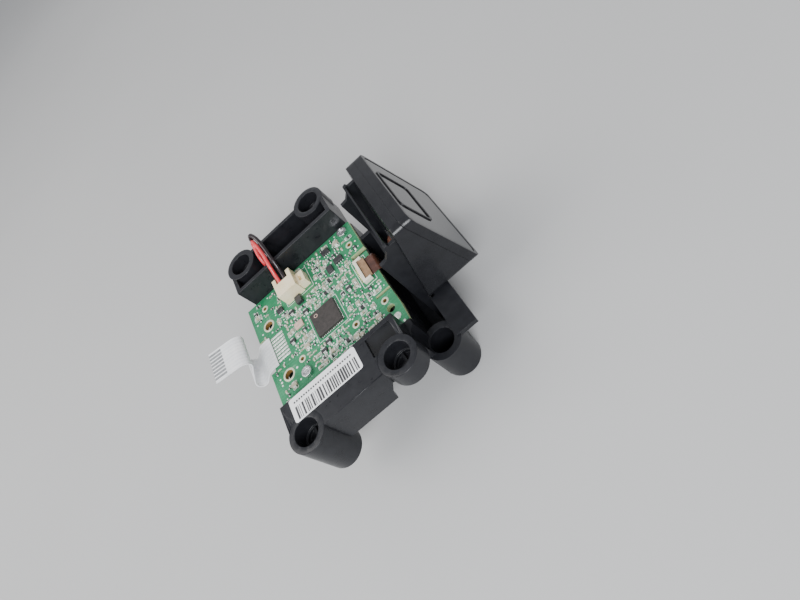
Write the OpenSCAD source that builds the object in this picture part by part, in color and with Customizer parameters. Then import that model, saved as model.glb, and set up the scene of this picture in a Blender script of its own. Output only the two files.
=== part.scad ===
// Board-on-bracket optical sensor module: four-boss bracket with a circuit board, a wedge-shaped
// window hood on its right side, a ribbon cable on its left side and a two-lead connector.
// Origin: centre of the four-boss pattern on the boss tops. +X toward the hood, +Z up from the board.

/* [Bracket] */
// distance between bosses along X
boss_pitch_x = 23.4; // [20:0.1:30]
// distance between bosses along Y
boss_pitch_y = 54; // [45:0.5:65]
// outside diameter of a boss
boss_d = 8.7; // [7:0.1:12]
// diameter of the recess in a boss
boss_hole_d = 5.8; // [3:0.1:7]
// depth of the recess in a boss
boss_hole_depth = 3.6; // [2:0.1:4]
// length of the two bosses on the left
boss_long = 12.6; // [8:0.1:20]
// length of the two bosses on the right
boss_short = 5; // [4.5:0.1:8]
// wall thickness of the bracket
wall = 1.1; // [0.8:0.1:2]
// height of the rail walls
rail_h = 9.1; // [7:0.1:12]

/* [Lower holder] */
// height of the holder foot below the boss tops
foot_depth = 21.5; // [16:0.5:30]
// diameter of the hole in the lower boss
foot_hole_d = 5.6; // [3:0.1:7]

/* [Board] */
// height of the board's top face below the boss tops
board_drop = 6.2; // [5:0.1:8]
// thickness of the board
board_t = 1.2; // [0.8:0.1:2]
// side of the square controller chip
chip_w = 7; // [5:0.5:10]
// number of chip resistors
resistor_count = 26; // [6:1:40]
// number of chip capacitors
capacitor_count = 26; // [6:1:40]

/* [Hood] */
// width of the hood along Y
hood_w = 25.8; // [20:0.2:34]
// wall thickness of the hood
hood_wall = 1; // [0.8:0.1:2]
// rounding of the hood's long edges
hood_r = 1.8; // [0.5:0.1:3]
// depth of the separate window frame
frame_d = 2; // [1:0.1:3]
// width of the sensor housing along Y
housing_w = 23; // [18:0.2:30]

/* [Cables] */
// width of the ribbon cable
ribbon_w = 9; // [5:0.5:16]
// thickness of the ribbon cable
ribbon_t = 0.3; // [0.2:0.05:0.5]
// outside diameter of a lead
lead_d = 1; // [0.6:0.1:1.4]

/* [Board connector] */
// opening between the two end ears of the flex connector
latch_gap = 0.12; // [0.08:0.01:0.2]

/* [Hidden] */
bx = boss_pitch_x / 2;
by = boss_pitch_y / 2;
boss_r = boss_d / 2;
hole_r = boss_hole_d / 2;
well_r = hole_r - 0.4;
rib_w = 0.7;
rib_h = 0.8;
rail_in = 18.8;
rail_out = 28.4;
front_in = -18;
left_end = -15.4;
right_end = 15.6;
pocket_l = 7.5;
pocket_r = 13.8;
trough_floor = -7;
wall_x0 = 13.9;
wall_x1 = 16.4;
wall_z0 = -14.4;
plate_top = -8.4;
plate_t = 1;
post_r = 1.9;
post_hole_r = 0.75;
screw_r = 0.7;
screw_head_r = 1.3;
screw_head_h = 0.8;
screw_hole_r = 0.8;
screw_points = [[-9.4, -10.1], [13.6, 16.6]];
board_top = -board_drop;
board_bottom = board_top - board_t;
board_l = -18.2;
board_r = 16.2;
board_back = 18.65;
board_front = -17.9;
cut_x = -16.7;
cut_y0 = -3.4;
cut_y1 = 7;
via_points = [[13.4, 11.9], [13.7, -9.1], [5.5, -8.8], [-9.4, -5.9], [-13.4, 15.2]];
via_r = 0.5;
via_ring_r = 1;
big_points = [[-14.1, 9.6], [-13.9, -6.9]];
big_r = 1.2;
big_ring_r = 1.65;
port_point = [14, -11.8];
port_r = 1;
ring_h = 0.08;
chip_pos = [0.3, -1.7];
chip_h = 0.9;
pitch_ribbon = 1;
ribbon_n = 8;
ribbon_y = 1.7;
pad_w = 0.6;
pad_h = 0.08;
eps = 0.01;
foot_x = 18.1;
foot_y = -22.4;
foot_r = 4.4;
foot_top = -12;
foot_hole_r = foot_hole_d / 2;
foot_hole_depth = 7.5;
flange_x1 = 26.4;
flange_top = -11.45;
flange_t = 1.2;
flange_y0 = -24.2;
cradle_y1 = 12;
cross_wall_z = -6.8;
cradle_x1 = 22.3;
hood_top = 10.4;
hood_bottom = -11.4;
window_top_x = 29.9;
window_bottom_x = 35.1;
back_top_x = 25.7;
back_bottom_x = 21.2;
hood_h = hood_top - hood_bottom;
face_tilt = atan((window_bottom_x - window_top_x) / hood_h);
back_tilt = atan((back_top_x - back_bottom_x) / hood_h);
face_len = hood_h / cos(face_tilt);
mid_z = (hood_top + hood_bottom) / 2;
face_x = (window_top_x + window_bottom_x) / 2;
back_x = (back_top_x + back_bottom_x) / 2;
pane_w = hood_w - 2;
pane_l = face_len - 2;
pane_t = 0.8;
glass_gap = 0.1;
housing_x0 = 19.3;
housing_z0 = -20.4;
housing_t = 0.9;
low_wall_z = -6.5;
board_slot_z = -11.6;
lens_r = 3;
lens_up = 1.5;
sensor_x = 1.1;
sensor_t = 0.8;
conn_x0 = 12.1;
conn_x1 = 12.9;
conn_y0 = -1.9;
conn_y1 = 5.5;
conn_h = 1.15;
ear_x1 = 14.3;
ear_t = 0.6;
hinge_x = 13.2;
hinge_z = board_top + 0.62;
hinge_r = 0.22;
hinge_hole_r = 0.28;
latch_x1 = 14.75;
latch_t = 0.3;
flex_y0 = -1;
flex_y1 = 4.6;
flex_t = 0.14;
header_x0 = -7;
header_x1 = -1.5;
header_y0 = 10.4;
header_y1 = 14.4;
header_arm = 2;
header_top = board_top + 3.8;
wing_top = board_top + 2.2;
lead_x = [-5.2, -3.6];
lead_z = board_top + 3.1;
lead_hole_r = 0.55;
pin_y = 12;

ribbon_path = [[-12, -5.96], [-15.2, -5.96], [-17, -5.96], [-18.6, -6.3], [-20.8, -8],
  [-22.1, -8], [-22.7, -6.9], [-22.4, -5.6], [-21.5, -4.4], [-19.8, -2.2], [-18.6, -0.7],
  [-18.4, 0.4], [-19.1, 1.2], [-20.3, 1.7], [-22.9, 2.1], [-26.4, 2.6]];
flex_path = [[12.6, -6.04], [14.4, -6.04], [16.4, -6.02], [17.1, -6.5], [17.3, -7.6],
  [17.3, -9.6], [17.7, -10.5], [18.6, -10.9], [20, -10.9], [20.8, -10.3], [20.9, -8.4],
  [21.6, -6.4], [23.2, -5.2]];
red_path = [[-5.2, 12.8, -3.1], [-5.2, 14.8, -2.9], [-5, 16.6, -1.6], [-4.4, 18.5, 0.5],
  [-4, 20.6, 1.8], [-4, 23.2, 3], [-4.4, 25.4, 3.4], [-5, 26.2, 2.6], [-5.5, 25.3, 1.4],
  [-5.9, 23.6, 0.3], [-6.2, 22.3, -1.6], [-6.3, 21.4, -4.2], [-5.6, 21, -6],
  [-3.6, 20.8, -6.4], [1.6, 20.8, -6.4]];
black_path = [[-3.6, 12.8, -3.1], [-3.6, 14.8, -2.9], [-3.3, 16.8, -1.4], [-2.9, 18.8, 0.8],
  [-2.7, 21.4, 2.4], [-2.9, 24.4, 3.9], [-3.8, 26.8, 4.3], [-4.7, 27.2, 3.2],
  [-5, 26.6, 1], [-4.9, 24.8, -1.8], [-4.6, 23.2, -4.4], [-3.8, 22.4, -6],
  [-2, 22.2, -6.4], [2, 22.2, -6.4]];

// point on a smooth curve through p, at step t of part i
function pick(p, i) = p[min(max(i, 0), len(p) - 1)];
function curve(p, i, t) = 0.5 * (2 * pick(p, i) + (pick(p, i + 1) - pick(p, i - 1)) * t
  + (2 * pick(p, i - 1) - 5 * pick(p, i) + 4 * pick(p, i + 1) - pick(p, i + 2)) * t * t
  + (3 * pick(p, i) - pick(p, i - 1) - 3 * pick(p, i + 1) + pick(p, i + 2)) * t * t * t);
function smooth(p, n) = [for (i = [0:len(p) - 2], k = [0:n - 1]) curve(p, i, k / n), p[len(p) - 1]];
function unit(v) = v / norm(v);
function along(p, i) = unit(pick(p, i + 1) - pick(p, i - 1));
function side(p, i) = [-along(p, i)[1], along(p, i)[0]];

module strip(path, t, y0, y1) {
  p = smooth(path, 3);
  n = len(p);
  upper = [for (i = [0:n - 1]) p[i] + side(p, i) * t / 2];
  lower = [for (i = [n - 1:-1:0]) p[i] - side(p, i) * t / 2];
  translate([0, y1, 0])
    rotate([90, 0, 0])
      linear_extrude(y1 - y0)
        polygon(concat(upper, lower));
}

module tube(path, d) {
  p = smooth(path, 4);
  n = len(p);
  m = 8;
  ring = [for (i = [0:n - 1], k = [0:m - 1])
    let (t = along(p, i), a = unit(cross(t, [1, 0.01, 0.02])), b = cross(t, a))
    p[i] + (a * cos(360 * k / m) + b * sin(360 * k / m)) * d / 2];
  sides = [for (i = [0:n - 2], k = [0:m - 1])
    [i * m + k, (i + 1) * m + k, (i + 1) * m + (k + 1) % m, i * m + (k + 1) % m]];
  polyhedron(ring, concat([[for (k = [0:m - 1]) k]], sides,
    [[for (k = [m - 1:-1:0]) (n - 1) * m + k]]), convexity = 6);
}

module box(x0, x1, y0, y1, z0, z1) {
  translate([x0, y0, z0])
    cube([x1 - x0, y1 - y0, z1 - z0]);
}

module prism(pts, y0, y1) {
  translate([0, y1, 0])
    rotate([90, 0, 0])
      linear_extrude(y1 - y0)
        polygon(pts);
}

module disc(x, y, r, z0, z1) {
  translate([x, y, z0])
    cylinder(r = r, h = z1 - z0, $fn = 48);
}

module round_bar(w, h, r, len) {
  rotate([90, 0, 90])
    linear_extrude(len)
      union() {
        square([w - 2 * r, h], center = true);
        square([w, h - 2 * r], center = true);
        for (sx = [-1, 1], sy = [-1, 1])
          translate([sx * (w / 2 - r), sy * (h / 2 - r)])
            circle(r = r, $fn = 32);
      }
}

module on_face() {
  translate([face_x, 0, mid_z])
    rotate([0, -face_tilt, 0])
      children();
}

module on_back() {
  translate([back_x, 0, mid_z])
    rotate([0, back_tilt, 0])
      children();
}

function face_at(z) = window_top_x + (hood_top - z) * (window_bottom_x - window_top_x) / hood_h;
function back_at(z) = back_bottom_x + (z - hood_bottom) * (back_top_x - back_bottom_x) / hood_h;

module all_bosses(r, z1) {
  disc(-bx, -by, r, -boss_long, z1);
  disc(-bx, by, r, -boss_long, z1);
  disc(bx, -by, r, -boss_short, z1);
  disc(bx, by, r, -boss_short, z1);
}

module corner_bosses() {
  color([0.09, 0.09, 0.1])
    difference() {
      all_bosses(boss_r, 0);
      for (x = [-bx, bx], y = [-by, by]) {
        disc(x, y, hole_r, -boss_hole_depth, 1);
        disc(x, y, well_r, -boss_hole_depth - rib_h, 0);
      }
    }
}

// crosses on the floors of the boss recesses
module boss_ribs() {
  color([0.09, 0.09, 0.1])
    for (x = [-bx, bx], y = [-by, by])
      intersection() {
        disc(x, y, well_r, -boss_hole_depth - rib_h, -boss_hole_depth);
        union() {
          box(x - hole_r, x + hole_r, y - rib_w / 2, y + rib_w / 2, -boss_hole_depth - 1, 0);
          box(x - rib_w / 2, x + rib_w / 2, y - hole_r, y + hole_r, -boss_hole_depth - 1, 0);
        }
      }
}

module back_trough() {
  color([0.09, 0.09, 0.1])
    difference() {
      box(left_end, right_end, rail_in, rail_out, -rail_h, 0);
      box(left_end + wall, right_end - wall, rail_in + wall, rail_out - wall, trough_floor, 1);
      all_bosses(boss_r, 1);
    }
}

module front_rail() {
  color([0.09, 0.09, 0.1])
    difference() {
      union() {
        difference() {
          box(left_end, pocket_r + wall, -rail_out, front_in, -wall, 0);
          box(pocket_l, pocket_r, -24, front_in - wall, -wall - 1, 1);
          box(bx, pocket_r + 2, -rail_out - 1, -24, -wall - 1, 1);
        }
        prism([[left_end, 0], [bx - 2, 0], [bx - 2, -4.1], [7.1, -4.1], [5.5, -6.6],
          [5, -rail_h], [left_end, -rail_h]], -rail_out, wall - rail_out);
        box(left_end, left_end + wall, -rail_out, front_in, -rail_h, 0);
        box(left_end, wall_x0, front_in - wall, front_in, -rail_h, 0);
        box(pocket_r, pocket_r + wall, -by, front_in, -boss_short, 0);
      }
      all_bosses(boss_r, 1);
    }
}

module base_plate() {
  color([0.09, 0.09, 0.1])
    difference() {
      union() {
        difference() {
          box(left_end, wall_x1, front_in, rail_in, plate_top - plate_t, plate_top);
          box(-16, -13.2, cut_y0, cut_y1, plate_top - 3, plate_top + 1);
        }
        for (p = screw_points)
          disc(p[0], p[1], post_r, plate_top - eps, board_bottom);
        box(wall_x0, wall_x1, front_in, rail_in, wall_z0, board_bottom);
        box(pocket_r + wall, wall_x1, front_in, front_in + 0.7, wall_z0, board_top);
      }
      for (p = screw_points)
        disc(p[0], p[1], post_hole_r, plate_top - plate_t - 1, board_bottom + 1);
    }
}

module sensor_cradle() {
  color([0.1, 0.1, 0.11])
    difference() {
      union() {
        box(wall_x0, wall_x1, foot_y - 1.6, front_in, -foot_depth, -boss_short);
        box(wall_x0, wall_x1, front_in - eps, cradle_y1, -foot_depth, wall_z0);
        disc(foot_x, foot_y, foot_r, -foot_depth, foot_top);
      }
      disc(foot_x, foot_y, foot_hole_r, foot_top - foot_hole_depth, foot_top + 1);
      disc(foot_x, foot_y, foot_hole_r + 0.4, foot_top, 1);
    }
}

module cradle_tray() {
  color([0.1, 0.1, 0.11])
    difference() {
      union() {
        box(wall_x1, cradle_x1, foot_y, cradle_y1, -foot_depth, housing_z0);
        box(cradle_x1 - wall, cradle_x1, foot_y, -12.6, -foot_depth, flange_top);
        box(cradle_x1 - wall, cradle_x1, -12.7, cradle_y1, -foot_depth, flange_top - 4);
        box(cradle_x1 - wall, flange_x1, flange_y0, cradle_y1, flange_top - flange_t, flange_top);
        box(wall_x1, housing_x0, cradle_y1 - wall, cradle_y1, housing_z0 - eps, cross_wall_z);
      }
      disc(foot_x, foot_y, foot_r, -foot_depth - 1, foot_top);
      box(cradle_x1 - 2, cradle_x1 + 0.1, -12.6, cradle_y1 - 0.6, flange_top - 4.1, flange_top + 1);
    }
}

// end walls with hooked tops, a low wall toward the board, and a thin lip along the hood's back
module sensor_housing() {
  color([0.1, 0.1, 0.11]) {
    difference() {
      prism([[housing_x0, housing_z0], [housing_x0, 4.6], [20.9, 4.8], [22.1, 6.1], [22.4, 7.7],
        [23.2, 7.9], [23.5, 7.3], [back_at(7.3), 7.3], [back_at(hood_bottom), hood_bottom],
        [back_bottom_x - 0.1, hood_bottom - eps], [back_bottom_x - 0.1, housing_z0]],
        -housing_w / 2, housing_w / 2);
      prism([[housing_x0 + housing_t, -12.4], [housing_x0 + housing_t, low_wall_z],
        [housing_x0 - 1, low_wall_z], [housing_x0 - 1, 9], [back_at(9) + 1, 9],
        [back_at(-10.4) + 1, -10.4], [back_at(-10.4) + 1, -11.4 + eps], [20.3, -12.4]],
        housing_t - housing_w / 2, housing_w / 2 - housing_t);
      box(housing_x0 - 1, housing_x0 + 2, flex_y0 - 0.6, flex_y1 + 0.6, board_slot_z, -9.8);
    }
    prism([[22.3, 5.9], [22.75, 5.9], [22.95, 7.6], [22.5, 7.6]],
      housing_t - housing_w / 2 - eps, housing_w / 2 - housing_t + eps);
  }
}

module hood_body() {
  intersection() {
    prism([[back_top_x, hood_top], [window_top_x, hood_top], [window_bottom_x, hood_bottom],
      [back_bottom_x, hood_bottom]], -hood_w / 2, hood_w / 2);
    translate([back_bottom_x - 1, 0, mid_z])
      round_bar(hood_w, hood_h, hood_r, 18);
  }
}

module scan_hood() {
  color([0.12, 0.12, 0.13])
    difference() {
      hood_body();
      prism([[back_at(9.4) + hood_wall, 9.4], [face_at(9.4) + 3, 9.4],
        [face_at(-10.4) + 3, -10.4], [back_at(-10.4) + hood_wall, -10.4]],
        hood_wall - hood_w / 2, hood_w / 2 - hood_wall);
      on_back()
        box(-3, 3, -8.5, 8.5, -7, 6.5);
      on_face()
        box(-frame_d, 20, -20, 20, -20, 20);
    }
}

module window_frame() {
  color([0.13, 0.13, 0.14])
    difference() {
      intersection() {
        hood_body();
        on_face()
          box(-frame_d, 20, -20, 20, -20, 20);
      }
      on_face()
        translate([-frame_d - 1, 0, 0])
          round_bar(hood_w - 4, face_len - 4, 1.5, 6);
      on_face()
        translate([-pane_t - glass_gap, 0, 0])
          round_bar(pane_w + 2 * glass_gap, pane_l + 2 * glass_gap, 1.6, 6);
    }
}

module window_pane() {
  color([0.42, 0.45, 0.48])
    on_face()
      translate([-pane_t - glass_gap, 0, 0])
        round_bar(pane_w, pane_l, 1.5, pane_t);
}

module aperture_gasket() {
  color([0.06, 0.06, 0.07])
    on_face()
      translate([-glass_gap, 0, 4.7])
        difference() {
          round_bar(13.4, 10, 1.6, 0.25);
          translate([-1, 0, 0])
            round_bar(12.2, 8.8, 1.1, 3);
        }
}

module main_board() {
  color([0.12, 0.5, 0.36])
    difference() {
      translate([0, 0, board_bottom])
        linear_extrude(board_t)
          polygon([[board_l, board_back], [board_r, board_back], [board_r, 8.1], [12.2, 8.1],
            [12.2, 6.6], [board_r, 6.6], [board_r, -6.6], [12.4, -6.6], [12.4, -7.3], [16.3, -7.3],
            [16.5, -12.2], [16.2, -17.2], [13.7, -17.2], [13.4, board_front],
            [left_end + 0.2, board_front], [board_l, -15], [board_l, cut_y0], [cut_x, cut_y0],
            [cut_x, cut_y1], [board_l, cut_y1]]);
      for (p = via_points)
        disc(p[0], p[1], via_r, board_bottom - 1, board_top + 1);
      for (p = screw_points)
        disc(p[0], p[1], screw_hole_r, board_bottom - 1, board_top + 1);
      for (x = lead_x)
        box(x - 0.3, x + 0.3, pin_y - 0.25, pin_y + 0.25, board_bottom - 1, board_top + 1);
      for (p = big_points)
        disc(p[0], p[1], big_r, board_bottom - 1, board_top + 1);
      disc(port_point[0], port_point[1], port_r, board_bottom - 1, board_top + 1);
    }
}

module controller_chip() {
  color([0.2, 0.19, 0.19])
    translate([chip_pos[0] - chip_w / 2, chip_pos[1] - chip_w / 2, board_top])
      cube([chip_w, chip_w, chip_h]);
}

module logic_chips() {
  color([0.16, 0.16, 0.16]) {
    box(8.2, 10.6, 9.5, 11.1, board_top, board_top + 0.7);
    box(5.7, 7.3, 8.5, 10.7, board_top, board_top + 0.7);
    box(6.4, 8.6, 14.6, 16, board_top, board_top + 0.7);
    box(-10.5, -8.7, 10.1, 11.3, board_top, board_top + 0.6);
  }
}

module power_inductor() {
  color([0.15, 0.15, 0.15])
    box(-4.7, -3, 7.7, 9.9, board_top, board_top + 1.1);
}

module clock_crystal() {
  color([0.8, 0.66, 0.58])
    box(-7.8, -5.4, 1.8, 3.6, board_top, board_top + 0.6);
}

// rows of small parts beside the controller chip
function part_spot(i, k) = [[-7.6 + 2.2 * (i % 5) + 0.3 * k, -6.6 - 1.5 * floor(i / 5) - 0.7 * k],
  [4.9 + 1.6 * (i % 4) + 0.2 * k, 6.4 - 1.7 * floor(i / 4) - 0.8 * k]];

module part_row(count, phase, w, l, h) {
  for (i = [0:count - 1])
    let (first = i < 14, j = first ? i : i - 14)
      translate(concat(part_spot(j, phase)[first ? 0 : 1], [board_top]))
        cube([l, w, h]);
}

module chip_resistors() {
  color([0.14, 0.14, 0.14])
    part_row(resistor_count, 0, 0.5, 1, 0.35);
}

module chip_capacitors() {
  color([0.72, 0.62, 0.5])
    part_row(capacitor_count, 1, 0.5, 1, 0.5);
}

module plated_rings() {
  color([0.85, 0.84, 0.74]) {
    for (p = via_points)
      ring(p, via_r, via_ring_r);
    for (p = big_points)
      ring(p, big_r, big_ring_r);
  }
}

module ring(p, r0, r1) {
  difference() {
    disc(p[0], p[1], r1, board_top, board_top + ring_h);
    disc(p[0], p[1], r0, board_top - 1, board_top + 1);
  }
}

module solder_pads() {
  color([0.75, 0.74, 0.7]) {
    for (i = [0:ribbon_n - 1])
      let (y = ribbon_y + (i - (ribbon_n - 1) / 2) * pitch_ribbon)
        box(-15.1, -11.4, y - pad_w / 2, y + pad_w / 2, board_top, board_top + pad_h);
    disc(14.3, -14.6, 0.9, board_top, board_top + pad_h);
  }
}

module lead_header() {
  color([0.92, 0.87, 0.76])
    difference() {
      union() {
        box(header_x0, header_x1, header_y0, header_y1, board_top, header_top);
        box(header_x1 - eps, 0.6, header_y0 + 0.5, header_y1 + 0.2, board_top, wing_top);
        box(header_x0, header_x0 + 1, header_y1 - eps, header_y1 + header_arm, board_top + 1,
          header_top);
        box(header_x1 - 1.1, header_x1, header_y1 - eps, header_y1 + header_arm, board_top + 1,
          header_top);
      }
      for (x = lead_x)
        translate([x, header_y1 + 1, lead_z])
          rotate([90, 0, 0])
            cylinder(r = lead_hole_r, h = 3.1, $fn = 32);
      for (x = lead_x)
        box(x - 0.3, x + 0.3, pin_y - 0.25, pin_y + 0.25, board_top - 1, lead_z - 0.7);
      box(-0.9, -0.2, header_y0 + 1.3, header_y1 - 0.6, wing_top - 1.2, wing_top + 1);
    }
}

module header_pins() {
  color([0.8, 0.78, 0.7])
    for (x = lead_x)
      box(x - 0.25, x + 0.25, pin_y - 0.2, pin_y + 0.2, board_bottom - 0.6, lead_z - 0.72);
}

module red_lead() {
  color([0.85, 0.2, 0.22])
    tube(red_path, lead_d);
}

module black_lead() {
  color([0.08, 0.06, 0.07])
    tube(black_path, lead_d);
}

module flex_connector_body() {
  color([0.93, 0.9, 0.82])
    difference() {
      union() {
        box(conn_x0, conn_x1, conn_y0, conn_y1, board_top, board_top + conn_h);
        box(conn_x1 - eps, ear_x1, conn_y0, conn_y0 + ear_t, board_top, board_top + conn_h);
        box(conn_x1 - eps, ear_x1, conn_y1 - ear_t, conn_y1, board_top, board_top + conn_h);
      }
      box(conn_x0 + 0.4, conn_x1 + 1, flex_y0 - 0.1, flex_y1 + 0.1, board_top + 0.08,
        board_top + 0.5);
      translate([hinge_x, conn_y0 + 0.2, hinge_z])
        rotate([-90, 0, 0])
          cylinder(r = hinge_hole_r, h = conn_y1 - conn_y0 - 0.4, $fn = 32);
    }
}

module flex_connector_latch() {
  color([0.8, 0.6, 0.42]) {
    translate([hinge_x, conn_y0 + 0.3, hinge_z])
      rotate([-90, 0, 0])
        cylinder(r = hinge_r, h = conn_y1 - conn_y0 - 0.6, $fn = 32);
    box(hinge_x, latch_x1, conn_y0 + ear_t + latch_gap, conn_y1 - ear_t - latch_gap,
      hinge_z - latch_t / 2, hinge_z + latch_t / 2);
  }
}

module flex_contacts() {
  color([0.85, 0.75, 0.45])
    for (i = [0:9])
      box(conn_x0 - 0.5, conn_x0 + 0.5, -0.55 + 0.5 * i, -0.35 + 0.5 * i, board_top,
        board_top + 0.08);
}

module sensor_flex() {
  color([0.62, 0.33, 0.26])
    strip(flex_path, flex_t, flex_y0, flex_y1);
}

module ribbon_cable() {
  color([0.9, 0.9, 0.9])
    strip(ribbon_path, ribbon_t, ribbon_y - ribbon_w / 2, ribbon_y + ribbon_w / 2);
}

module ribbon_conductors() {
  color([0.72, 0.72, 0.72])
    for (i = [0:ribbon_n - 1])
      let (y = ribbon_y + (i - (ribbon_n - 1) / 2) * pitch_ribbon)
        strip([[-22.9, 2.3], [-26.3, 2.8]], 0.08, y - pad_w / 2, y + pad_w / 2);
}

module rail_label() {
  color([0.93, 0.93, 0.92])
    translate([-4.05, -21.1, 0])
      linear_extrude(0.1)
        union() {
          square([16.7, 5.8], center = true);
          square([17.9, 4.6], center = true);
          for (sx = [-1, 1], sy = [-1, 1])
            translate([sx * 8.35, sy * 2.3])
              circle(r = 0.6, $fn = 24);
        }
}

module board_screws() {
  color([0.75, 0.75, 0.76])
    for (p = screw_points)
      difference() {
        union() {
          disc(p[0], p[1], screw_head_r, board_top, board_top + screw_head_h);
          disc(p[0], p[1], screw_r, plate_top - 0.8, board_top + eps);
        }
        box(p[0] - 0.9, p[0] + 0.9, p[1] - 0.2, p[1] + 0.2, board_top + 0.35, 0);
        box(p[0] - 0.2, p[0] + 0.2, p[1] - 0.9, p[1] + 0.9, board_top + 0.35, 0);
      }
}

module sensor_board() {
  color([0.1, 0.42, 0.3])
    on_back()
      box(sensor_x, sensor_x + sensor_t, -10, 10, -8, 8);
}

module image_sensor() {
  color([0.2, 0.22, 0.26])
    on_back()
      box(sensor_x + sensor_t, sensor_x + sensor_t + 0.7, -2.5, 2.5, lens_up - 2.5, lens_up + 2.5);
}

module lens_holder() {
  color([0.08, 0.08, 0.09])
    on_back()
      difference() {
        box(sensor_x + sensor_t, sensor_x + sensor_t + 3, -4.2, 4.2, lens_up - 4.2, lens_up + 4.2);
        box(sensor_x + sensor_t - 1, sensor_x + sensor_t + 1.2, -3.2, 3.2, lens_up - 3.2,
          lens_up + 3.2);
        translate([sensor_x, 0, lens_up])
          rotate([0, 90, 0])
            cylinder(r = lens_r + 0.05, h = 8, $fn = 48);
      }
}

module lens_barrel() {
  color([0.1, 0.1, 0.1])
    on_back()
      translate([sensor_x + sensor_t + 1.2, 0, lens_up])
        rotate([0, 90, 0])
          difference() {
            cylinder(r = lens_r, h = 3, $fn = 48);
            translate([0, 0, -1])
              cylinder(r = 1.6, h = 6, $fn = 32);
            translate([0, 0, 1.9])
              cylinder(r = 2.3, h = 3, $fn = 48);
          }
}

module lens_glass() {
  color([0.6, 0.7, 0.8])
    on_back()
      translate([sensor_x + sensor_t + 3.1, 0, lens_up])
        rotate([0, 90, 0])
          cylinder(r = 2.25, h = 0.7, $fn = 48);
}

corner_bosses();
boss_ribs();
back_trough();
front_rail();
base_plate();
sensor_cradle();
cradle_tray();
sensor_housing();
scan_hood();
window_frame();
window_pane();
aperture_gasket();
main_board();
controller_chip();
logic_chips();
power_inductor();
clock_crystal();
chip_resistors();
chip_capacitors();
plated_rings();
solder_pads();
lead_header();
header_pins();
red_lead();
black_lead();
flex_connector_body();
flex_connector_latch();
flex_contacts();
sensor_flex();
ribbon_cable();
ribbon_conductors();
rail_label();
board_screws();
sensor_board();
image_sensor();
lens_holder();
lens_barrel();
lens_glass();
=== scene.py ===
import math
import random

import bmesh
import bpy
from mathutils import Matrix, Vector


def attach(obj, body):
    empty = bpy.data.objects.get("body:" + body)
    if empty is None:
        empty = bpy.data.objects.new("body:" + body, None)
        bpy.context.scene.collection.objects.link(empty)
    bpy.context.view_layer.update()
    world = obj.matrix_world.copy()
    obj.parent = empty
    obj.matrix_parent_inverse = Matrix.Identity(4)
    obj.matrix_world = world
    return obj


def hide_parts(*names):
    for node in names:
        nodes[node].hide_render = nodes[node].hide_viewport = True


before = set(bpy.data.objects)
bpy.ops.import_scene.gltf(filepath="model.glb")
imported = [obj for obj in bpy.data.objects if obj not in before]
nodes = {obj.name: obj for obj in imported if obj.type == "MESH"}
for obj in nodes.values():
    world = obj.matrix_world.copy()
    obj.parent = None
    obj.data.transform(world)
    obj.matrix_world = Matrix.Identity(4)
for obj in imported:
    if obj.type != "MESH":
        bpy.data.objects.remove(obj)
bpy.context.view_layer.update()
MM = 0.001
random.seed(7)

# places and sizes in millimetres, in the CAD part's frame
BOARD_TOP = -6.2
BOARD_X, BOARD_Y = (-17.4, 15.6), (-17.2, 18.1)
RIBBON_EDGE_X, RIBBON_EDGE_Y = -16.3, (-3.9, 7.5)
BOSS_X, BOSS_Y, BOSS_R = (-11.7, 11.7), (-27, 27), 4.35
CONDUCTOR_PITCH = 1.0
CONDUCTOR_YS = [1.7 + (i - 3.5) * CONDUCTOR_PITCH for i in range(8)]
SMALL_HOLES = ((13.4, 11.9), (13.7, -9.1), (5.5, -8.8), (-9.4, -5.9), (-13.4, 15.2))
LARGE_HOLES = ((-14.1, 9.6), (-13.9, -6.9))
SMALL_HOLE_R, LARGE_HOLE_R = 0.5, 1.2
CHIP_X, CHIP_Y = 0.3, -1.7
SMALL_CHIPS = ((8.2, 10.6, 9.5, 11.1), (5.7, 7.3, 8.5, 10.7), (6.4, 8.6, 14.6, 16),
               (-10.5, -8.7, 10.1, 11.3))

# ---------------------------------------------------------------- camera
RIGHT = Vector((0.744444, -0.410995, -0.5262))
DOWN = Vector((-0.647565, -0.636447, -0.419041))
AHEAD = Vector((-0.162675, 0.652701, -0.739945))
EYE = Vector((36.6141, -92.2433, 85.0362))
SENSOR_MM = 36
FOCAL_PIXELS = 589.21
PICTURE_PIXELS = 800
cam_data = bpy.data.cameras.new("camera")
cam_data.sensor_width = SENSOR_MM
cam_data.lens = FOCAL_PIXELS / PICTURE_PIXELS * SENSOR_MM
cam_data.clip_start = 0.002
cam_data.clip_end = 10
cam = bpy.data.objects.new("camera", cam_data)
bpy.context.scene.collection.objects.link(cam)
turn = Matrix((RIGHT, -DOWN, -AHEAD)).transposed()
cam.matrix_world = Matrix.Translation(EYE * MM) @ turn.to_4x4()
bpy.context.scene.camera = cam


# ---------------------------------------------------------------- materials
NOISE_ROUGHNESS = 0.55
GRAIN_DEPTH = 0.00008
FINE_DEPTH = 0.00005
GLASS_IOR = 1.5


def graph(name):
    """A new material with its node tree and its shader."""
    m = bpy.data.materials.new(name)
    m.use_nodes = True
    t = m.node_tree
    return m, t, t.nodes["Principled BSDF"]


def node(t, kind, **values):
    """A new shader node with its settings."""
    n = t.nodes.new(kind)
    for k, v in values.items():
        setattr(n, k, v)
    return n


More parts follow.
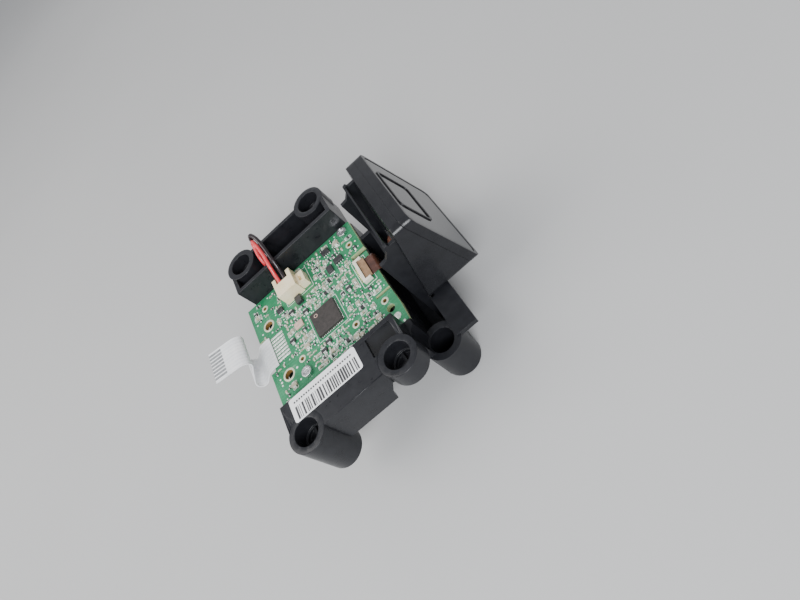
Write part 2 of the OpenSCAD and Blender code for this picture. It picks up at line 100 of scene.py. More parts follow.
def noise(t, scale, detail=4.0, stretch=(1, 1, 1)):
    """Noise in the object's own coordinates, where one unit is a metre."""
    co = node(t, "ShaderNodeTexCoord")
    mp = node(t, "ShaderNodeMapping")
    mp.inputs["Scale"].default_value = stretch
    n = node(t, "ShaderNodeTexNoise")
    n.inputs["Scale"].default_value = scale
    n.inputs["Detail"].default_value = detail
    n.inputs["Roughness"].default_value = NOISE_ROUGHNESS
    t.links.new(co.outputs["Object"], mp.inputs["Vector"])
    t.links.new(mp.outputs["Vector"], n.inputs["Vector"])
    return n


def ramp(t, src, stops):
    """Colours (r, g, b) at places from 0 to 1 of a socket."""
    r = node(t, "ShaderNodeValToRGB")
    e = r.color_ramp.elements
    while len(e) < len(stops):
        e.new(0.5)
    for el, (p, c) in zip(e, stops):
        el.position = p
        el.color = tuple(c) + (1,)
    t.links.new(src, r.inputs["Fac"])
    return r


def gloss(t, b, src, low, high):
    """The shader's roughness between two (place, value) stops of a socket."""
    r = ramp(t, src, [(place, (value,) * 3) for place, value in (low, high)])
    t.links.new(r.outputs["Color"], b.inputs["Roughness"])


def bump(t, b, height, strength, depth):
    """The shader's relief from a height socket, depth in metres."""
    bp = node(t, "ShaderNodeBump")
    bp.inputs["Strength"].default_value = strength
    bp.inputs["Distance"].default_value = depth
    t.links.new(height, bp.inputs["Height"])
    t.links.new(bp.outputs["Normal"], b.inputs["Normal"])


def surface(name, low, high, scale, rough, relief, grain, metal=0.0,
            spec=0.5, coat=0.0, stretch=(1, 1, 1)):
    """A surface whose colour, roughness and height all vary with noise."""
    m, t, b = graph(name)
    n = noise(t, scale, stretch=stretch)
    col = ramp(t, n.outputs["Fac"], [(0.3, low), (0.7, high)])
    t.links.new(col.outputs["Color"], b.inputs["Base Color"])
    gloss(t, b, n.outputs["Fac"], (0.2, rough[0]), (0.8, rough[1]))
    bump(t, b, noise(t, grain, detail=3.0, stretch=stretch).outputs["Fac"], relief, GRAIN_DEPTH)
    b.inputs["Metallic"].default_value = metal
    b.inputs["Specular IOR Level"].default_value = spec
    b.inputs["Coat Weight"].default_value = coat
    return m


black_plastic = surface("frame_black", (0.0115, 0.0120, 0.0145), (0.0170, 0.0178, 0.0210), 500,
                        (0.24, 0.36), 0.2, 5200, spec=0.32)
body_plastic = surface("housing_black", (0.0100, 0.0105, 0.0128), (0.0155, 0.0162, 0.0192), 520,
                       (0.28, 0.40), 0.2, 5200, spec=0.30)
hood_plastic = surface("hood_black", (0.0100, 0.0105, 0.0125), (0.0150, 0.0156, 0.0182), 420,
                       (0.20, 0.29), 0.10, 6000, spec=0.32)
hidden_black = surface("optic_black", (0.012, 0.012, 0.013), (0.022, 0.022, 0.024), 800,
                       (0.55, 0.7), 0.2, 4000)
gasket_black = surface("gasket_black", (0.010, 0.010, 0.012), (0.020, 0.020, 0.023), 900,
                       (0.3, 0.42), 0.1, 5000)
chip_mould = surface("chip_mould", (0.024, 0.021, 0.019), (0.050, 0.042, 0.039), 1400,
                     (0.42, 0.6), 0.4, 9000)
small_mould = surface("small_mould", (0.022, 0.022, 0.024), (0.050, 0.050, 0.052), 1500,
                      (0.35, 0.5), 0.3, 8000)
tin = surface("tinned_joint", (0.66, 0.70, 0.64), (0.90, 0.93, 0.88), 1800, (0.16, 0.38), 0.5,
              3500, metal=0.4)
stripe_tin = surface("stripe_tin", (0.30, 0.31, 0.32), (0.44, 0.45, 0.46), 1500, (0.3, 0.45), 0.3,
                     3500, metal=0.4)
tan_ceramic = surface("ceramic_tan", (0.34, 0.30, 0.20), (0.52, 0.50, 0.38), 2200, (0.4, 0.6),
                      0.3, 7000)
pink_ceramic = surface("ceramic_pink", (0.55, 0.36, 0.28), (0.68, 0.50, 0.42), 1800, (0.3, 0.5),
                       0.25, 6000)
cream_nylon = surface("header_cream", (0.90, 0.75, 0.47), (0.96, 0.86, 0.62), 420, (0.35, 0.5),
                      0.2, 4200)
cream_plastic = surface("connector_cream", (0.78, 0.72, 0.58), (0.90, 0.86, 0.74), 700,
                        (0.35, 0.5), 0.2, 4200)
latch_tan = surface("latch_tan", (0.24, 0.14, 0.075), (0.34, 0.21, 0.12), 900, (0.35, 0.5), 0.25,
                    4200)
red_skin = surface("red_insulation", (0.66, 0.035, 0.045), (0.80, 0.075, 0.08), 700, (0.22, 0.34),
                   0.12, 3000, coat=0.2)
black_skin = surface("black_insulation", (0.008, 0.004, 0.006), (0.020, 0.011, 0.013), 700,
                     (0.2, 0.32), 0.12, 3000, coat=0.2)
gold = surface("contact_gold", (0.75, 0.52, 0.20), (0.90, 0.70, 0.36), 1500, (0.2, 0.35), 0.2,
               4000, metal=0.95)
flex_film = surface("flex_film", (0.060, 0.022, 0.014), (0.105, 0.040, 0.026), 900, (0.20, 0.32),
                    0.15, 3500, coat=0.3)
steel = surface("screw_steel", (0.60, 0.60, 0.61), (0.82, 0.82, 0.83), 1600, (0.18, 0.34), 0.3,
                4200, metal=1.0)
table_grey = surface("table_grey", (0.495, 0.495, 0.49), (0.52, 0.52, 0.515), 6, (0.75, 0.9), 0.05,
                    700, spec=0.2)
silk = surface("silkscreen", (0.70, 0.76, 0.70), (0.86, 0.90, 0.85), 2600, (0.5, 0.65), 0.3, 8000)
laminate = surface("laminate_edge", (0.36, 0.46, 0.22), (0.58, 0.66, 0.38), 1800, (0.5, 0.7), 0.4,
                   5000, stretch=(1, 1, 6))
ring_tin = surface("ring_tin", (0.56, 0.60, 0.44), (0.74, 0.77, 0.60), 1700, (0.3, 0.45), 0.3, 4200,
                   metal=0.25)
ink = surface("label_ink", (0.02, 0.02, 0.022), (0.06, 0.06, 0.064), 1500, (0.45, 0.6), 0.15, 5000)
paper = surface("label_paper", (0.90, 0.905, 0.905), (0.95, 0.95, 0.95), 900, (0.3, 0.42), 0.12,
                5000)


def board_mat():
    """Green solder mask: mottled tint over patches of straight copper tracks that lift it."""
    m, t, b = graph("solder_mask")
    n = noise(t, 260, 5)
    base = ramp(t, n.outputs["Fac"], [(0.3, (0.014, 0.175, 0.068)), (0.7, (0.032, 0.250, 0.110))])
    co = node(t, "ShaderNodeTexCoord")
    v = node(t, "ShaderNodeTexBrick", offset=0.37, squash=0.6, squash_frequency=3)
    for key, value in (("Scale", 1.0), ("Brick Width", 0.0034), ("Row Height", 0.00085),
                       ("Mortar Size", 0.00007), ("Mortar Smooth", 0.2)):
        v.inputs[key].default_value = value
    t.links.new(co.outputs["Object"], v.inputs["Vector"])
    patch = ramp(t, noise(t, 170, 2).outputs["Fac"], [(0.46, (0, 0, 0)), (0.54, (1, 1, 1))])
    line = node(t, "ShaderNodeMixRGB", blend_type="MULTIPLY")
    line.inputs["Fac"].default_value = 1
    t.links.new(v.outputs["Fac"], line.inputs["Color1"])
    t.links.new(patch.outputs["Color"], line.inputs["Color2"])
    mix = node(t, "ShaderNodeMixRGB", blend_type="MIX")
    mix.inputs["Color2"].default_value = (0.055, 0.33, 0.165, 1)
    fac = node(t, "ShaderNodeMath", operation="MULTIPLY")
    fac.inputs[1].default_value = 0.65
    t.links.new(line.outputs["Color"], fac.inputs[0])
    t.links.new(fac.outputs[0], mix.inputs["Fac"])
    t.links.new(base.outputs["Color"], mix.inputs["Color1"])
    t.links.new(mix.outputs["Color"], b.inputs["Base Color"])
    gloss(t, b, n.outputs["Fac"], (0.2, 0.22), (0.8, 0.36))
    bump(t, b, line.outputs["Color"], 0.5, FINE_DEPTH)
    b.inputs["Coat Weight"].default_value = 0.25
    return m


def film_mat():
    """White ribbon film with faint shadows of the conductors inside, one pitch apart."""
    m, t, b = graph("ribbon_film")
    co = node(t, "ShaderNodeTexCoord")
    sep = node(t, "ShaderNodeSeparateXYZ")
    t.links.new(co.outputs["Object"], sep.inputs[0])
    mul = node(t, "ShaderNodeMath", operation="MULTIPLY")
    mul.inputs[1].default_value = 2 * math.pi / (CONDUCTOR_PITCH * MM)
    add = node(t, "ShaderNodeMath", operation="ADD")
    add.inputs[1].default_value = -2 * math.pi * 1.2
    wave = node(t, "ShaderNodeMath", operation="COSINE")
    t.links.new(sep.outputs["Y"], mul.inputs[0])
    t.links.new(mul.outputs[0], add.inputs[0])
    t.links.new(add.outputs[0], wave.inputs[0])
    n = noise(t, 500, 3)
    both = node(t, "ShaderNodeMath", operation="MULTIPLY_ADD")
    both.inputs[1].default_value = 0.12
    t.links.new(wave.outputs[0], both.inputs[0])
    t.links.new(n.outputs["Fac"], both.inputs[2])
    col = ramp(t, both.outputs[0], [(0.3, (0.96, 0.96, 0.955)), (0.75, (0.83, 0.84, 0.86))])
    t.links.new(col.outputs["Color"], b.inputs["Base Color"])
    gloss(t, b, n.outputs["Fac"], (0.2, 0.24), (0.8, 0.38))
    bump(t, b, wave.outputs[0], 0.35, FINE_DEPTH)
    b.inputs["Subsurface Weight"].default_value = 0.1
    b.inputs["Subsurface Radius"].default_value = (0.001, 0.001, 0.001)
    return m


def pane_mat():
    """Dark glossy pane with a slow haze and fine dust."""
    m, t, b = graph("window_pane")
    n = noise(t, 90, 3)
    col = ramp(t, n.outputs["Fac"], [(0.3, (0.012, 0.0125, 0.014)), (0.7, (0.022, 0.0225, 0.024))])
    t.links.new(col.outputs["Color"], b.inputs["Base Color"])
    dust = noise(t, 2600, 2)
    gloss(t, b, dust.outputs["Fac"], (0.55, 0.06), (0.75, 0.22))
    bump(t, b, n.outputs["Fac"], 0.03, FINE_DEPTH)
    b.inputs["IOR"].default_value = GLASS_IOR
    return m


def lens_mat():
    """Clear bluish glass."""
    m, t, b = graph("lens_glass")
    n = noise(t, 300, 2)
    col = ramp(t, n.outputs["Fac"], [(0.3, (0.50, 0.55, 0.72)), (0.7, (0.62, 0.70, 0.82))])
    t.links.new(col.outputs["Color"], b.inputs["Base Color"])
    gloss(t, b, n.outputs["Fac"], (0.3, 0.02), (0.8, 0.06))
    b.inputs["Transmission Weight"].default_value = 0.85
    b.inputs["IOR"].default_value = GLASS_IOR
    return m


mask_green = board_mat()
ribbon_film = film_mat()
pane = pane_mat()
lens_clear = lens_mat()


def new_object(name, bm, mats, body="module", smooth_angle=35):
    """The mesh as an object that rides on a body, smooth but for its sharp edges."""
    me = bpy.data.meshes.new(name)
    bmesh.ops.recalc_face_normals(bm, faces=bm.faces)
    bm.to_mesh(me)
    bm.free()
    for m in mats if isinstance(mats, (list, tuple)) else [mats]:
        me.materials.append(m)
    ob = bpy.data.objects.new(name, me)
    bpy.context.scene.collection.objects.link(ob)
    for p in me.polygons:
        p.use_smooth = True
    me.set_sharp_from_angle(angle=math.radians(smooth_angle))
    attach(ob, body)
    return ob


FLAT_ANGLE = 1.2  # degrees: faces this near to flat are joined
EDGE_ANGLE = 28  # degrees: edges sharper than this are bevelled
WASHER_POINTS = 28
CABLE_POINTS = 14
FILM_EDGE = 0.06


def on_boss(v):
    """True for a point on the outside of one of the four bosses."""
    return any(abs(math.hypot(v.co.x / MM - x, v.co.y / MM - y) - BOSS_R) < 0.06
               for x in BOSS_X for y in BOSS_Y)


def soften(name, width, segments, mats, body="module", pick=None, seam=False):
    """The CAD node's own shape with rounded edges: triangles joined to flat faces, then bevelled.
    With seam the edges that touch a boss stay sharp, so that the boss and the rail meet flush."""
    bm = bmesh.new()
    bm.from_mesh(nodes[name].data)
    bmesh.ops.remove_doubles(bm, verts=bm.verts, dist=1e-7)
    bmesh.ops.dissolve_limit(bm, angle_limit=math.radians(FLAT_ANGLE), verts=bm.verts, edges=bm.edges)
    edges = [e for e in bm.edges if len(e.link_faces) == 2
             and e.calc_face_angle(0) > math.radians(EDGE_ANGLE)
             and not (seam and all(on_boss(v) for v in e.verts))]
    bmesh.ops.bevel(bm, geom=edges, offset=width * MM, offset_type="OFFSET", segments=segments,
                    profile=0.6, clamp_overlap=True, affect="EDGES")
    bmesh.ops.triangulate(bm, faces=[f for f in bm.faces if len(f.verts) > 4])
    for f in bm.faces:
        f.normal_update()
        f.material_index = pick(f) if pick else 0
    ob = new_object(name + "_shell", bm, mats, body, 40)
    mod = ob.modifiers.new("normals", "WEIGHTED_NORMAL")
    mod.keep_sharp = True
    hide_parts(name)
    return ob


def block(bm, x0, x1, y0, y1, z0, z1, mat, r):
    """A box in millimetres with edges bevelled by r, added to bm with a material index."""
    g = bmesh.ops.create_cube(bm, size=1)
    vs = g["verts"]
    for v in vs:
        v.co = Vector((x0 + (v.co.x + 0.5) * (x1 - x0), y0 + (v.co.y + 0.5) * (y1 - y0),
                       z0 + (v.co.z + 0.5) * (z1 - z0))) * MM
    faces = {f for v in vs for f in v.link_faces}
    for f in faces:
        f.material_index = mat
    if r:
        es = {e for v in vs for e in v.link_edges}
        bmesh.ops.bevel(bm, geom=list(es), offset=r * MM, segments=1, affect="EDGES",
                        clamp_overlap=True)


def circles(bm, x, y, z, rings, n):
    """Rows of n points on circles round (x, y), one for each (radius, height above z)."""
    return [[bm.verts.new(Vector((x + a * math.cos(2 * math.pi * i / n),
                                  y + a * math.sin(2 * math.pi * i / n), z + b)) * MM)
             for i in range(n)] for a, b in rings]


def skin(bm, rows):
    """Faces from each closed row of points to the next."""
    n = len(rows[0])
    for a, b in zip(rows, rows[1:]):
        for i in range(n):
            bm.faces.new((a[i], a[(i + 1) % n], b[(i + 1) % n], b[i]))


def disc(bm, x, y, z, r, h, dome, n):
    """A low round pad with a domed top."""
    rows = circles(bm, x, y, z, [(r, 0), (r, h * 0.5), (r * 0.8, h * 0.85), (r * 0.45, h + dome)], n)
    skin(bm, rows)
    bm.faces.new(rows[-1])
    bm.faces.new(rows[0][::-1])


def washer(bm, x, y, z, r0, r1, h):
    """A raised ring with a rounded crown, its bore wall 0.6 mm deep below z."""
    rings = [(r0, -0.6), (r0, h * 0.7), (r0 + (r1 - r0) * 0.3, h), (r1 - (r1 - r0) * 0.25, h),
             (r1, h * 0.4), (r1, 0)]
    rows = circles(bm, x, y, z, rings, WASHER_POINTS)
    skin(bm, rows + rows[:1])


def catmull(pts, per):
    """A smooth curve through the points, in per steps from each to the next."""
    out = []
    for i in range(len(pts) - 1):
        a, b, c, d = (Vector(pts[min(max(k, 0), len(pts) - 1)]) for k in (i - 1, i, i + 1, i + 2))
        for k in range(per):
            t = k / per
            out.append(0.5 * (2 * b + (c - a) * t + (2 * a - 5 * b + 4 * c - d) * t * t
                              + (3 * b - a - 3 * c + d) * t * t * t))
    out.append(Vector(pts[-1]))
    return out


def ribbon(name, path, t, y0, y1, mats, per, cross):
    """A flat film of thickness t swept along an XZ path: bevelled long edges, closed ends."""
    pts = catmull([(x, 0, z) for x, z in path], per)
    bm = bmesh.new()
    ring = []
    for i, p in enumerate(pts):
        a, b = pts[max(i - 1, 0)], pts[min(i + 1, len(pts) - 1)]
        d = (b - a).normalized()
        nrm = Vector((-d.z, 0, d.x))
        sec = [(y0, 0), (y0 + FILM_EDGE, 0.5)]
        sec += [(y0 + (y1 - y0) * k / cross, 0.5) for k in range(1, cross)]
        sec += [(y1 - FILM_EDGE, 0.5), (y1, 0), (y1 - FILM_EDGE, -0.5)]
        sec += [(y0 + (y1 - y0) * k / cross, -0.5) for k in range(cross - 1, 0, -1)]
        sec += [(y0 + FILM_EDGE, -0.5)]
        ring.append([bm.verts.new((p + nrm * (h * t) + Vector((0, y, 0))) * MM) for y, h in sec])
    skin(bm, ring)
    bm.faces.new(ring[0])
    bm.faces.new(ring[-1][::-1])
    return new_object(name, bm, mats, smooth_angle=50)


def cable(name, path, d, mat):
    """A round lead of diameter d swept along a smooth path, with flat ends."""
    pts = catmull(path, 8)
    bm = bmesh.new()
    n = CABLE_POINTS
    up = Vector((1, 0, 0))
    rows = []
    for i, p in enumerate(pts):
        tan = (pts[min(i + 1, len(pts) - 1)] - pts[max(i - 1, 0)]).normalized()
        up = (up - tan * up.dot(tan)).normalized()
        side = tan.cross(up)
        rows.append([bm.verts.new((p + (up * math.cos(2 * math.pi * k / n)
                                        + side * math.sin(2 * math.pi * k / n)) * d / 2) * MM)
                     for k in range(n)])
    skin(bm, rows)
    bm.faces.new(rows[0][::-1])
    bm.faces.new(rows[-1])
    return new_object(name, bm, mat, smooth_angle=60)


# ---------------------------------------------------------------- shells over the CAD shapes
soften("front_rail", 0.14, 2, black_plastic, seam=True)
soften("back_trough", 0.14, 2, black_plastic, seam=True)
soften("corner_bosses", 0.12, 2, black_plastic)
soften("boss_ribs", 0.06, 1, black_plastic)
soften("base_plate", 0.12, 2, black_plastic)
soften("sensor_cradle", 0.16, 2, body_plastic)
soften("cradle_tray", 0.16, 2, body_plastic)
soften("sensor_housing", 0.14, 2, body_plastic)
soften("scan_hood", 0.14, 2, hood_plastic)
soften("window_frame", 0.10, 2, hood_plastic)
soften("window_pane", 0.10, 2, pane)
soften("aperture_gasket", 0.05, 2, gasket_black)
soften("controller_chip", 0.07, 2, chip_mould)
soften("power_inductor", 0.10, 2, small_mould)
soften("clock_crystal", 0.10, 2, pink_ceramic)
soften("lead_header", 0.10, 2, cream_nylon)
soften("header_pins", 0.04, 1, tin)
soften("flex_connector_body", 0.05, 2, cream_plastic)
soften("flex_connector_latch", 0.05, 2, latch_tan, body="latch")
soften("sensor_board", 0.06, 1, mask_green)
soften("image_sensor", 0.06, 1, small_mould)
soften("lens_holder", 0.12, 2, hidden_black)
soften("lens_barrel", 0.10, 2, hidden_black)
soften("lens_glass", 0.12, 3, lens_clear)
soften("rail_label", 0.02, 1, paper)
soften("board_screws", 0.09, 2, steel)
soften("main_board", 0.05, 1, [mask_green, laminate],
       pick=lambda f: 0 if abs(f.normal.z) > 0.8 else 1)

# ---------------------------------------------------------------- board population
# places kept clear of small parts: centre and half sizes
KEEP = [(CHIP_X, CHIP_Y, 4.4, 4.4), (-3.2, 12.9, 4.6, 3.9), (9.4, 10.3, 1.7, 1.2),
        (6.5, 9.6, 1.2, 1.5), (7.5, 15.3, 1.5, 1.1), (-9.6, 10.7, 1.3, 1.0), (-3.85, 8.8, 1.3, 1.5),
        (-6.6, 2.7, 1.6, 1.3), (13.0, 1.8, 2.0, 4.4), (-13.2, 1.7, 2.6, 4.3), (-9.4, -10.1, 1.9, 1.9),
        (13.6, 16.6, 1.9, 1.9), (13.4, 11.9, 1.4, 1.4), (13.7, -9.1, 1.4, 1.4),
        (5.5, -8.8, 1.3, 1.3), (-9.4, -5.9, 1.4, 1.4), (-13.4, 15.2, 1.4, 1.4),
        (-14.1, 9.6, 2.1, 2.1), (-13.9, -6.9, 2.1, 2.1), (14.0, -11.8, 1.5, 1.5),
        (14.3, -14.6, 1.3, 1.3), (14.2, 7.35, 2.6, 1.1), (14.4, -6.95, 2.6, 0.8),
        (-10.6, 15.3, 0.9, 0.9), (-9.2, -13.4, 6.0, 1.4)]


def free_at(x, y, hx, hy, taken):
    """True where a part of half sizes hx and hy has the board under it and nothing in its way."""
    if not (BOARD_X[0] < x - hx and x + hx < BOARD_X[1]
            and BOARD_Y[0] < y - hy and y + hy < BOARD_Y[1]):
        return False
    if x < RIBBON_EDGE_X and RIBBON_EDGE_Y[0] < y < RIBBON_EDGE_Y[1]:
        return False
    return all(abs(x - a) > hx + c or abs(y - b) > hy + d for a, b, c, d in KEEP + taken)


def crowded(x, y):
    """The share of parts kept: all in the middle, fewer at the left and the lower corners."""
    if x < -11.5:
        return 0.30
    if x < -7.5 and y < -4:
        return 0.35
    if x > 12 and y < -8:
        return 0.25
    return 1.0


PART_TRIES, SPOT_TRIES = 5200, 2600
LEGEND_HEIGHT = 0.03
CAP_SHARE = 0.24  # the length of a metal cap as a share of its part's
BODY, METAL = 0, 1


def chip_part(bm, x, y, l, w, h):
    """A small part of l along X and w along Y: body, metal caps and solder beyond them. A part that
    lies along Y has its body across it, with the long side along X."""
    along_x = l > w
    long, short = max(l, w), min(l, w)
    cap = CAP_SHARE * long

    def lay(u0, u1, v, z, mat, r):
        """A block from u0 to u1 along the part and v to each side of its middle."""
        if along_x:
            block(bm, x + u0, x + u1, y - v, y + v, BOARD_TOP, BOARD_TOP + z, mat, r)
        else:
            block(bm, x - v, x + v, y + u0, y + u1, BOARD_TOP, BOARD_TOP + z, mat, r)

    if along_x:
        lay(cap - long / 2, long / 2 - cap, short / 2, h, BODY, 0.02)
    else:
        lay(-short / 2, short / 2, long / 2, h, BODY, 0.02)
    for s in (-1, 1):
        a, b, mid = s * (long / 2 - cap), s * (long / 2 + 0.02), s * (long / 2 + 0.13)
        lay(min(a, b), max(a, b), short / 2 + 0.01, h + 0.015, METAL, 0.03)
        lay(mid - 0.13, mid + 0.13, short / 2 + 0.05, h * 0.4, METAL, 0.05)


taken = []
chips = bmesh.new()
caps = bmesh.new()
spots = bmesh.new()
legend = bmesh.new()


def mark_line(x0, x1, y0, y1, wide_x, wide_y):
    """A line of the white legend, widened by wide_x and wide_y to each side."""
    block(legend, x0 - wide_x, x1 + wide_x, y0 - wide_y, y1 + wide_y, BOARD_TOP,
          BOARD_TOP + LEGEND_HEIGHT, 0, 0)


PART_SIZES = [(1.0, 0.5, 0.38), (1.0, 0.5, 0.32), (0.6, 0.32, 0.26), (0.6, 0.32, 0.26),
              (1.5, 0.8, 0.5)]
for _ in range(PART_TRIES):
    x, y = random.uniform(-17.5, 15.7), random.uniform(-17.2, 18.2)
    l, w, h = random.choice(PART_SIZES)
    if random.random() < 0.5:
        l, w = w, l
    if random.random() > crowded(x, y) or not free_at(x, y, l / 2 + 0.34, w / 2 + 0.22, taken):
        continue
    taken.append((x, y, l / 2 + 0.12, w / 2 + 0.1))
    kind = random.random()
    chip_part(chips if kind < 0.4 else caps, x, y, l, w, h)
    if kind > 0.25 and max(l, w) > 0.9:
        hx, hy = l / 2 + 0.32, w / 2 + 0.22
        for s in (-1, 1):
            mark_line(x - hx, x + hx, y + s * hy, y + s * hy, 0, 0.05)
            mark_line(x + s * hx, x + s * hx, y - hy, y + hy, 0.05, 0)
for _ in range(SPOT_TRIES):
    x, y = random.uniform(-17.6, 15.8), random.uniform(-17.2, 18.3)
    r = random.choice((0.17, 0.2, 0.24, 0.3))
    if random.random() > crowded(x, y) or not free_at(x, y, r + 0.04, r + 0.04, taken):
        continue
    taken.append((x, y, r, r))
    disc(spots, x, y, BOARD_TOP, r, 0.05, 0.03, 10)

resistors = new_object("resistor_field", chips, [small_mould, tin])
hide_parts("chip_resistors")
capacitors = new_object("capacitor_field", caps, [tan_ceramic, tin])
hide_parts("chip_capacitors")
new_object("test_points", spots, silk)

# solder pads: one for each conductor with its joint on top, and the round pad
PAD_HEIGHT, JOINT_HEIGHT = 0.07, 0.2
pads = bmesh.new()
for y in CONDUCTOR_YS:
    block(pads, -15.1, -11.4, y - 0.34, y + 0.34, BOARD_TOP, BOARD_TOP + PAD_HEIGHT, 0, 0.03)
    block(pads, -15.0, -11.7, y - 0.24, y + 0.24, BOARD_TOP + PAD_HEIGHT,
          BOARD_TOP + JOINT_HEIGHT, 0, 0.07)
disc(pads, 14.3, -14.6, BOARD_TOP, 0.9, 0.08, 0.12, 28)
pads_ob = new_object("cable_pads", pads, tin)
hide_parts("solder_pads")

# rings round the plated holes, and the copper walls inside them
rings = bmesh.new()
for x, y in SMALL_HOLES:
    washer(rings, x, y, BOARD_TOP, 0.52, 0.94, 0.08)
for x, y in LARGE_HOLES:
    washer(rings, x, y, BOARD_TOP, LARGE_HOLE_R, 1.65, 0.09)
rings_ob = new_object("hole_rings", rings, ring_tin)
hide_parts("plated_rings")
walls = bmesh.new()
for holes, r in ((LARGE_HOLES, LARGE_HOLE_R), (SMALL_HOLES, SMALL_HOLE_R)):
    for x, y in holes:
        washer(walls, x, y, BOARD_TOP - 0.55, r - 0.06, r - 0.01, 0.5)
copper = surface("barrel_copper", (0.30, 0.17, 0.05), (0.46, 0.28, 0.10), 1500, (0.3, 0.5), 0.3,
                 4000, metal=0.5)
new_object("hole_barrels", walls, copper)

# legs of the controller and of the small chips, and the controller's pin-one ring
LEGS_A_SIDE, LEG_ROW, LEG_REACH = 14, 6.0, 3.55
SMALL_LEGS, SMALL_LEG_REACH = 4, 0.3
legs = bmesh.new()
for k in range(LEGS_A_SIDE):
    s = -3.0 + LEG_ROW * k / (LEGS_A_SIDE - 1)
    for side in (-1, 1):
        cx = CHIP_X + side * LEG_REACH
        block(legs, cx - 0.14, cx + 0.14, CHIP_Y + s - 0.1, CHIP_Y + s + 0.1, BOARD_TOP,
              BOARD_TOP + 0.2, 0, 0.03)
        cy = CHIP_Y + side * LEG_REACH
        block(legs, CHIP_X + s - 0.1, CHIP_X + s + 0.1, cy - 0.14, cy + 0.14, BOARD_TOP,
              BOARD_TOP + 0.2, 0, 0.03)
for x0, x1, y0, y1 in SMALL_CHIPS:
    for k in range(SMALL_LEGS):
        s = x0 + (x1 - x0) * (k + 0.5) / SMALL_LEGS
        for near, far in ((y0 - SMALL_LEG_REACH, y0), (y1, y1 + SMALL_LEG_REACH)):
            block(legs, s - 0.12, s + 0.12, near, far, BOARD_TOP, BOARD_TOP + 0.25, 0, 0.04)
new_object("chip_legs", legs, tin)
soften("logic_chips", 0.07, 2, small_mould)
mark = bmesh.new()
washer(mark, -1.7, 0.55, BOARD_TOP + 0.9, 0.36, 0.52, 0.02)
new_object("pin_one_ring", mark, pink_ceramic)

# white outlines round the header, the controller and the flex connector
for x0, x1, y0, y1 in ((-7.4, 1.0, 9.9, 16.9), (-4.0, 4.6, -6.0, 2.6), (11.3, 15.0, -2.5, 6.1)):
    for a, b, c, d in ((x0, x1, y0, y0), (x0, x1, y1, y1), (x0, x0, y0, y1), (x1, x1, y0, y1)):
        mark_line(a, b, c, d, 0.06, 0.06)
new_object("legend_lines", legend, silk)

# flex connector contacts
tails = bmesh.new()
for i in range(10):
    y = -0.45 + 0.5 * i
    block(tails, 11.55, 12.4, y - 0.1, y + 0.1, BOARD_TOP, BOARD_TOP + 0.1, 0, 0.02)
tails_ob = new_object("connector_tails", tails, gold)
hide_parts("flex_contacts")

# parts on the back of the sensor board, which the open housing shows
BOARD_FACE = 1.08
behind = bmesh.new()
block(behind, 0.15, BOARD_FACE, -1.6, 5.2, -5.6, -4.3, 0, 0.08)
for y0, y1, z0, z1, h in ((-5.6, -2.8, -2.2, 0.6, 0.8), (2.2, 4.4, -0.6, 1.6, 0.7)):
    block(behind, BOARD_FACE - h, BOARD_FACE, y0, y1, z0, z1, 0, 0.06)
used = [(1.8, -5.0, 4.2, 1.4), (-4.2, -0.8, 2.0, 2.0), (3.3, 0.5, 1.7, 1.7)]
for _ in range(420):
    y, z = random.uniform(-7.8, 7.8), random.uniform(-6.2, 5.8)
    if any(abs(y - a) < c and abs(z - b) < d for a, b, c, d in used):
        continue
    used.append((y, z, 1.15, 0.75))
    kind = random.choice((0, 1, 1))
    block(behind, 0.7, BOARD_FACE, y - 0.28, y + 0.28, z - 0.25, z + 0.25, kind, 0.03)
    for d in (-0.4, 0.4):
        block(behind, 0.68, BOARD_FACE, y + d - 0.14, y + d + 0.14, z - 0.27, z + 0.27, 2, 0.05)
LEAN_RUN, LEAN_RISE = 25.7 - 21.2, 21.8
BOARD_MIDDLE = Vector((23.45, 0, -0.5))
tilt = math.atan(LEAN_RUN / LEAN_RISE)
bmesh.ops.transform(behind, verts=behind.verts,
                    matrix=Matrix.Translation(BOARD_MIDDLE * MM)
                    @ Matrix.Rotation(tilt, 4, "Y"))
new_object("sensor_board_parts", behind, [small_mould, tan_ceramic, tin])

# ---------------------------------------------------------------- films and leads
RIBBON = [(-15.2, -5.96), (-17, -5.96), (-18.6, -6.3), (-20.8, -8), (-22.1, -8),
          (-22.7, -6.9), (-22.4, -5.6), (-21.5, -4.4), (-19.8, -2.2), (-18.6, -0.7), (-18.4, 0.4),
          (-19.1, 1.2), (-20.3, 1.7), (-22.9, 2.1), (-26.4, 2.6)]
film = ribbon("ribbon_film", RIBBON, 0.26, -2.8, 6.2, ribbon_film, per=8, cross=24)
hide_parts("ribbon_cable")
ends = bmesh.new()
for y in CONDUCTOR_YS:
    v = [Vector(p) * MM for p in ((-23.2, y - 0.3, 2.29), (-23.2, y + 0.3, 2.29),
                                  (-26.35, y + 0.3, 2.74), (-26.35, y - 0.3, 2.74))]
    low = [ends.verts.new(p) for p in v]
    high = [ends.verts.new(p + Vector((0.009, 0, 0.06)) * MM) for p in v]
    ends.faces.new(low[::-1])
    ends.faces.new(high)
    skin(ends, [low, high])
ends_ob = new_object("ribbon_ends", ends, stripe_tin)
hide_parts("ribbon_conductors")

FLEX = [(12.6, -6.04), (14.4, -6.04), (16.4, -6.02), (17.1, -6.5), (17.3, -7.6), (17.3, -9.6),
        (17.7, -10.5), (18.6, -10.9), (20, -10.9), (20.8, -10.3), (20.9, -8.4), (21.6, -6.4),
        (23.2, -5.2)]
flex = ribbon("sensor_flex_film", FLEX, 0.12, -1.0, 4.6, flex_film, per=6, cross=10)
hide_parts("sensor_flex")

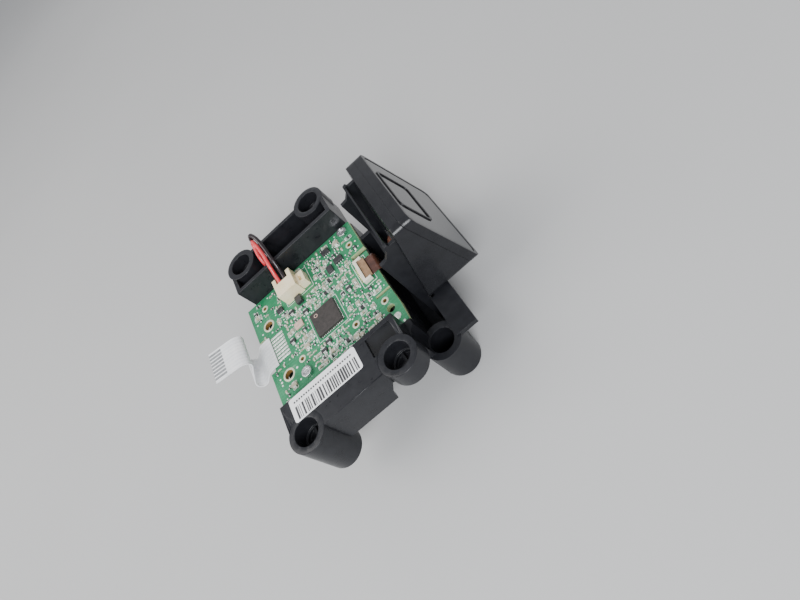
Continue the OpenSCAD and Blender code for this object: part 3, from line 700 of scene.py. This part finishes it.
LEAD_WIDTH = 1.0
RED = [(-5.2, 12.8, -3.1), (-5.2, 14.8, -2.9), (-5, 16.6, -1.6), (-4.4, 18.5, 0.5),
       (-4, 20.6, 1.8), (-4, 23.2, 3), (-4.4, 25.4, 3.4), (-5, 26.2, 2.6), (-5.5, 25.3, 1.4),
       (-5.9, 23.6, 0.3), (-6.2, 22.3, -1.6), (-6.3, 21.4, -4.2), (-5.6, 21, -6),
       (-3.6, 20.8, -6.4), (1.6, 20.8, -6.4)]
BLACK = [(-3.6, 12.8, -3.1), (-3.6, 14.8, -2.9), (-3.3, 16.8, -1.4), (-2.9, 18.8, 0.8),
         (-2.7, 21.4, 2.4), (-2.9, 24.4, 3.9), (-3.8, 26.8, 4.3), (-4.7, 27.2, 3.2),
         (-5, 26.6, 1), (-4.9, 24.8, -1.8), (-4.6, 23.2, -4.4), (-3.8, 22.4, -6),
         (-2, 22.2, -6.4), (2, 22.2, -6.4)]
red = cable("red_wire", RED, LEAD_WIDTH, red_skin)
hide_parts("red_lead")
black = cable("black_wire", BLACK, LEAD_WIDTH, black_skin)
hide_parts("black_lead")

# ---------------------------------------------------------------- label print: plain bars only
PRINT_Z = (0.095, 0.112)
bars = bmesh.new()
x = -12.0
while x < 4.1:
    w = random.choice((0.16, 0.24, 0.34, 0.46))
    block(bars, x, x + w, -23.7, -20.6, *PRINT_Z, 0, 0)
    x += w + random.choice((0.16, 0.2, 0.3, 0.42))
for k in range(24):
    x = -11.9 + 0.66 * k
    block(bars, x, x + 0.4, -19.75, -19.35, *PRINT_Z, 0, 0)
new_object("label_bars", bars, ink)

# ---------------------------------------------------------------- stage and light
TABLE_Z = -21.8
TABLE_HALF = 1.2
bm = bmesh.new()
bmesh.ops.create_grid(bm, x_segments=8, y_segments=8, size=TABLE_HALF)
me = bpy.data.meshes.new("table_top")
bm.to_mesh(me)
bm.free()
me.materials.append(table_grey)
table = bpy.data.objects.new("table_top", me)
table.location = (0, 0, TABLE_Z * MM)
bpy.context.scene.collection.objects.link(table)

world = bpy.data.worlds.new("soft_room")
bpy.context.scene.world = world
world.use_nodes = True
world.node_tree.nodes["Background"].inputs["Color"].default_value = (0.93, 0.95, 1.0, 1)
world.node_tree.nodes["Background"].inputs["Strength"].default_value = 0.62


def light(name, place, aim, size, watts, tint=(1, 1, 1)):
    """A rectangular lamp, place and aim in millimetres and size in metres."""
    data = bpy.data.lights.new(name, "AREA")
    data.shape = "RECTANGLE"
    data.size, data.size_y = size
    data.energy = watts
    data.color = tint
    ob = bpy.data.objects.new(name, data)
    ob.location = Vector(place) * MM
    d = (Vector(aim) - Vector(place)).normalized()
    ob.rotation_euler = d.to_track_quat("-Z", "Y").to_euler()
    bpy.context.scene.collection.objects.link(ob)


light("key", (-330, 60, 380), (0, 0, -5), (0.40, 0.40), 1.9, (1.0, 0.98, 0.96))
light("fill", (-20, -400, 300), (10, 0, -5), (0.24, 0.20), 2.9, (0.95, 0.97, 1.0))
light("back", (160, 420, 200), (10, 0, 0), (0.45, 0.25), 0.25)
